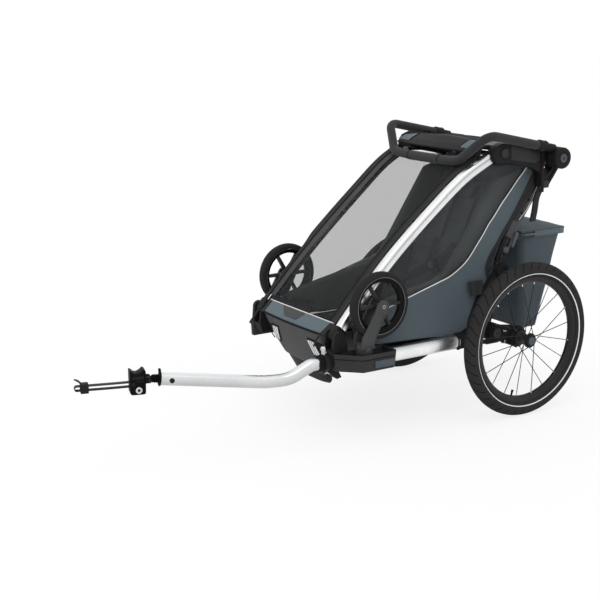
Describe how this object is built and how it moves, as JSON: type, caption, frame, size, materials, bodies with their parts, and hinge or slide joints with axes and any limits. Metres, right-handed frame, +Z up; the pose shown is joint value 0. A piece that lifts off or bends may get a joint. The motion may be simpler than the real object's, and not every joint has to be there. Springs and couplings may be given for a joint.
{
  "type": "child bike trailer",
  "caption": "Child bike trailer with a slate cabin between bent bright tubes, large spoked wheels, a push bar, a tow arm and stroller wheels stowed at its front corners.",
  "frame": {"origin": "on the ground, in the middle of the trailer's box, without its safety strap", "axes": "+X to the trailer's own left, where the tow arm is; -Y forwards, the way it is towed; +Z up"},
  "size_m": [0.688, 1.7016, 0.9064],
  "materials": {
    "tyre_rubber": "matt",
    "black_metal": "satin",
    "black_plastic": "matt",
    "grey_plastic": "satin",
    "aluminium": "satin",
    "dark_steel": "satin",
    "bright_steel": "satin",
    "foam": "matt",
    "slate_cloth": "matt",
    "dark_cloth": "matt",
    "tinted_film": "clear, tinted",
    "webbing": "matt"
  },
  "bodies": {
    "chassis": {"front_knuckles": "black_plastic", "corner_tray_left": "black_plastic", "corner_tray_right": "black_plastic", "side_rail_left": "aluminium", "side_rail_right": "aluminium", "rear_bracket_left": "black_plastic", "rear_bracket_right": "black_plastic", "rear_beam": "black_metal", "floor_pan": "black_plastic", "footwell": "dark_cloth", "seat_cushion": "dark_cloth", "seat_back": "dark_cloth", "harness": "webbing", "back_cloth": "dark_cloth", "side_panel_left": "slate_cloth", "side_panel_right": "slate_cloth", "front_cover": "tinted_film", "cargo_bag": "slate_cloth", "tow_receiver": "black_plastic"},
    "upper_frame": {"front_tube_left": "aluminium", "front_tube_right": "aluminium", "shoulder_left": "black_plastic", "shoulder_right": "black_plastic", "canopy": "dark_cloth", "canopy_bar": "aluminium", "wrist_strap": "webbing"},
    "push_bar": {"push_bar": "foam", "push_hub_left": "black_plastic", "push_hub_right": "black_plastic"},
    "rear_struts": {"rear_strut_left": "dark_steel", "rear_strut_right": "dark_steel"},
    "bag_lid": {"bag_lid": "slate_cloth"},
    "tow_arm": {"tow_arm": "aluminium"},
    "tow_arm_button": {"tow_arm_button": "black_plastic"},
    "coupling_neck": {"coupling_neck": "black_plastic"},
    "hitch": {"hitch_jaw": "black_plastic", "safety_strap": "webbing", "strap_keeper": "black_plastic"},
    "tow_lock_pin": {"tow_lock_pin": "bright_steel"},
    "brake_pedal": {"brake_pedal": "black_plastic"},
    "suspension_left": {"suspension_arm_left": "black_plastic"},
    "wheel_left": {"tyre_left": "tyre_rubber", "rim_left": "black_metal", "hub_left": "black_metal"},
    "hub_button_left": {"hub_button_left": "grey_plastic"},
    "push_button_left": {"push_button_left": "grey_plastic"},
    "lock_lever_left": {"lock_lever_left": "grey_plastic"},
    "fork_left": {"stroller_fork_left": "black_plastic"},
    "stroller_wheel_left": {"stroller_tyre_left": "tyre_rubber", "stroller_rim_left": "black_plastic"},
    "suspension_right": {"suspension_arm_right": "black_plastic"},
    "wheel_right": {"tyre_right": "tyre_rubber", "rim_right": "black_metal", "hub_right": "black_metal"},
    "hub_button_right": {"hub_button_right": "grey_plastic"},
    "push_button_right": {"push_button_right": "grey_plastic"},
    "lock_lever_right": {"lock_lever_right": "grey_plastic"},
    "fork_right": {"stroller_fork_right": "black_plastic"},
    "stroller_wheel_right": {"stroller_tyre_right": "tyre_rubber", "stroller_rim_right": "black_plastic"}
  },
  "joints": [
    {"name": "frame_fold", "type": "hinge", "parent": "chassis", "child": "upper_frame", "pos_m": [0, -0.1714, 0.335], "axis": [-1, 0, 0], "range_deg": [0, 28], "deforming": ["front_cover", "side_panel_left", "side_panel_right", "back_cloth", "seat_back", "harness", "cargo_bag", "bag_lid", "wrist_strap"]},
    {"name": "strut_fold", "type": "hinge", "parent": "chassis", "child": "rear_struts", "pos_m": [0, 0.4636, 0.452], "axis": [-1, 0, 0], "range_deg": [0, 89.1]},
    {"name": "push_bar_tilt", "type": "hinge", "parent": "upper_frame", "child": "push_bar", "pos_m": [0, 0.6486, 0.813], "axis": [-1, 0, 0], "range_deg": [0, 160]},
    {"name": "bag_lid_open", "type": "hinge", "parent": "chassis", "child": "bag_lid", "pos_m": [0, 0.5816, 0.5603], "axis": [1, 0, 0], "range_deg": [0, 80]},
    {"name": "tow_arm_slide", "type": "slide", "parent": "chassis", "child": "tow_arm", "axis": [0, -1, 0], "range_m": [0, 0.06]},
    {"name": "tow_arm_button_press", "type": "slide", "parent": "tow_arm", "child": "tow_arm_button", "axis": [-0.9568, 0.2906, 0], "range_m": [0, 0.002], "stiffness_N_per_m": 500},
    {"name": "hitch_swivel", "type": "hinge", "parent": "tow_arm", "child": "coupling_neck", "pos_m": [0.103, -0.6894, 0.265], "axis": [-0.2885, -0.9499, 0.1202], "range_deg": [-35, 35]},
    {"name": "hitch_pitch", "type": "hinge", "parent": "coupling_neck", "child": "hitch", "pos_m": [0.09309, -0.72204, 0.26816], "axis": [0.9568, -0.2906, 0], "range_deg": [-20, 20]},
    {"name": "tow_lock_pin_lift", "type": "slide", "parent": "chassis", "child": "tow_lock_pin", "axis": [0, 0, 1], "range_m": [0, 0.008], "stiffness_N_per_m": 500, "springref_m": -0.001},
    {"name": "brake_pedal_press", "type": "hinge", "parent": "chassis", "child": "brake_pedal", "pos_m": [0.15, 0.4036, 0.2597], "axis": [-1, 0, 0], "range_deg": [0, 15]},
    {"name": "suspension_left", "type": "hinge", "parent": "chassis", "child": "suspension_left", "pos_m": [0.2521, 0.4036, 0.275], "axis": [1, 0, 0], "range_deg": [0, 8], "stiffness_Nm_per_rad": 100, "springref_deg": -5.73},
    {"name": "wheel_spin_left", "type": "hinge", "parent": "suspension_left", "child": "wheel_left", "pos_m": [0.315, 0.4936, 0.25], "axis": [1, 0, 0], "continuous": true},
    {"name": "hub_button_press_left", "type": "slide", "parent": "wheel_left", "child": "hub_button_left", "axis": [-1, 0, 0], "range_m": [0, 0.003], "stiffness_N_per_m": 500},
    {"name": "push_button_press_left", "type": "slide", "parent": "push_bar", "child": "push_button_left", "axis": [-1, 0, 0], "range_m": [0, 0.003], "stiffness_N_per_m": 500},
    {"name": "lock_lever_swing_left", "type": "hinge", "parent": "rear_struts", "child": "lock_lever_left", "pos_m": [0.2095, 0.5299, 0.57075], "axis": [1, 0, 0], "range_deg": [0, 35]},
    {"name": "fork_lift_left", "type": "slide", "parent": "chassis", "child": "fork_left", "axis": [0, 0, 1], "range_m": [0, 0.03]},
    {"name": "stroller_wheel_spin_left", "type": "hinge", "parent": "fork_left", "child": "stroller_wheel_left", "pos_m": [0.256, -0.0464, 0.422], "axis": [1, 0, 0], "continuous": true},
    {"name": "suspension_right", "type": "hinge", "parent": "chassis", "child": "suspension_right", "pos_m": [-0.2521, 0.4036, 0.275], "axis": [1, 0, 0], "range_deg": [0, 8], "stiffness_Nm_per_rad": 100, "springref_deg": -5.73},
    {"name": "wheel_spin_right", "type": "hinge", "parent": "suspension_right", "child": "wheel_right", "pos_m": [-0.315, 0.4936, 0.25], "axis": [1, 0, 0], "continuous": true},
    {"name": "hub_button_press_right", "type": "slide", "parent": "wheel_right", "child": "hub_button_right", "axis": [1, 0, 0], "range_m": [0, 0.003], "stiffness_N_per_m": 500},
    {"name": "push_button_press_right", "type": "slide", "parent": "push_bar", "child": "push_button_right", "axis": [1, 0, 0], "range_m": [0, 0.003], "stiffness_N_per_m": 500},
    {"name": "lock_lever_swing_right", "type": "hinge", "parent": "rear_struts", "child": "lock_lever_right", "pos_m": [-0.2095, 0.5299, 0.57075], "axis": [1, 0, 0], "range_deg": [0, 35]},
    {"name": "fork_lift_right", "type": "slide", "parent": "chassis", "child": "fork_right", "axis": [0, 0, 1], "range_m": [0, 0.03]},
    {"name": "stroller_wheel_spin_right", "type": "hinge", "parent": "fork_right", "child": "stroller_wheel_right", "pos_m": [-0.256, -0.0464, 0.422], "axis": [1, 0, 0], "continuous": true}
  ],
  "couplings": [
    {"joint": "strut_fold", "follows": "frame_fold", "ratio": 3.182}
  ]
}
